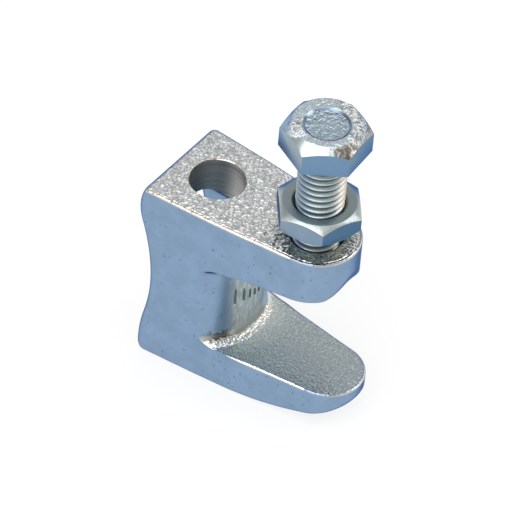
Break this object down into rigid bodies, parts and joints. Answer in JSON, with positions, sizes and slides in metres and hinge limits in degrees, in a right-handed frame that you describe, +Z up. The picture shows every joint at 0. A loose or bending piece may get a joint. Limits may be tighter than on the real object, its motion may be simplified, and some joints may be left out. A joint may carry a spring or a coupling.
{
  "type": "beam clamp",
  "caption": "C-shaped cast beam clamp that grips a steel beam's flange with a hex-head set screw and lock nut and carries a hanging threaded rod.",
  "frame": {"origin": "on the ground under the middle of the casting's length and width, at the flat heel", "axes": "+X towards the open throat, the jaw's tip and the set screw, +Z up along the screw and the rod hole, +Y across the clamp"},
  "size_m": [0.0483, 0.0238, 0.0732],
  "materials": {
    "cast_zinc": "bright zinc plated casting skin",
    "screw_zinc": "bright zinc plated",
    "nut_zinc": "bright zinc plated"
  },
  "bodies": {
    "clamp_body": {"clamp_body": "cast_zinc"},
    "lock_nut": {"lock_nut": "nut_zinc"},
    "set_screw": {"set_screw": "screw_zinc"}
  },
  "joints": [
    {"name": "lock_nut_travel", "type": "slide", "parent": "clamp_body", "child": "lock_nut", "axis": [0, 0, 1], "range_m": [-0.0039, 0.003]},
    {"name": "set_screw_travel", "type": "slide", "parent": "lock_nut", "child": "set_screw", "axis": [0, 0, 1], "range_m": [-0.0137, 0.0028]}
  ]
}
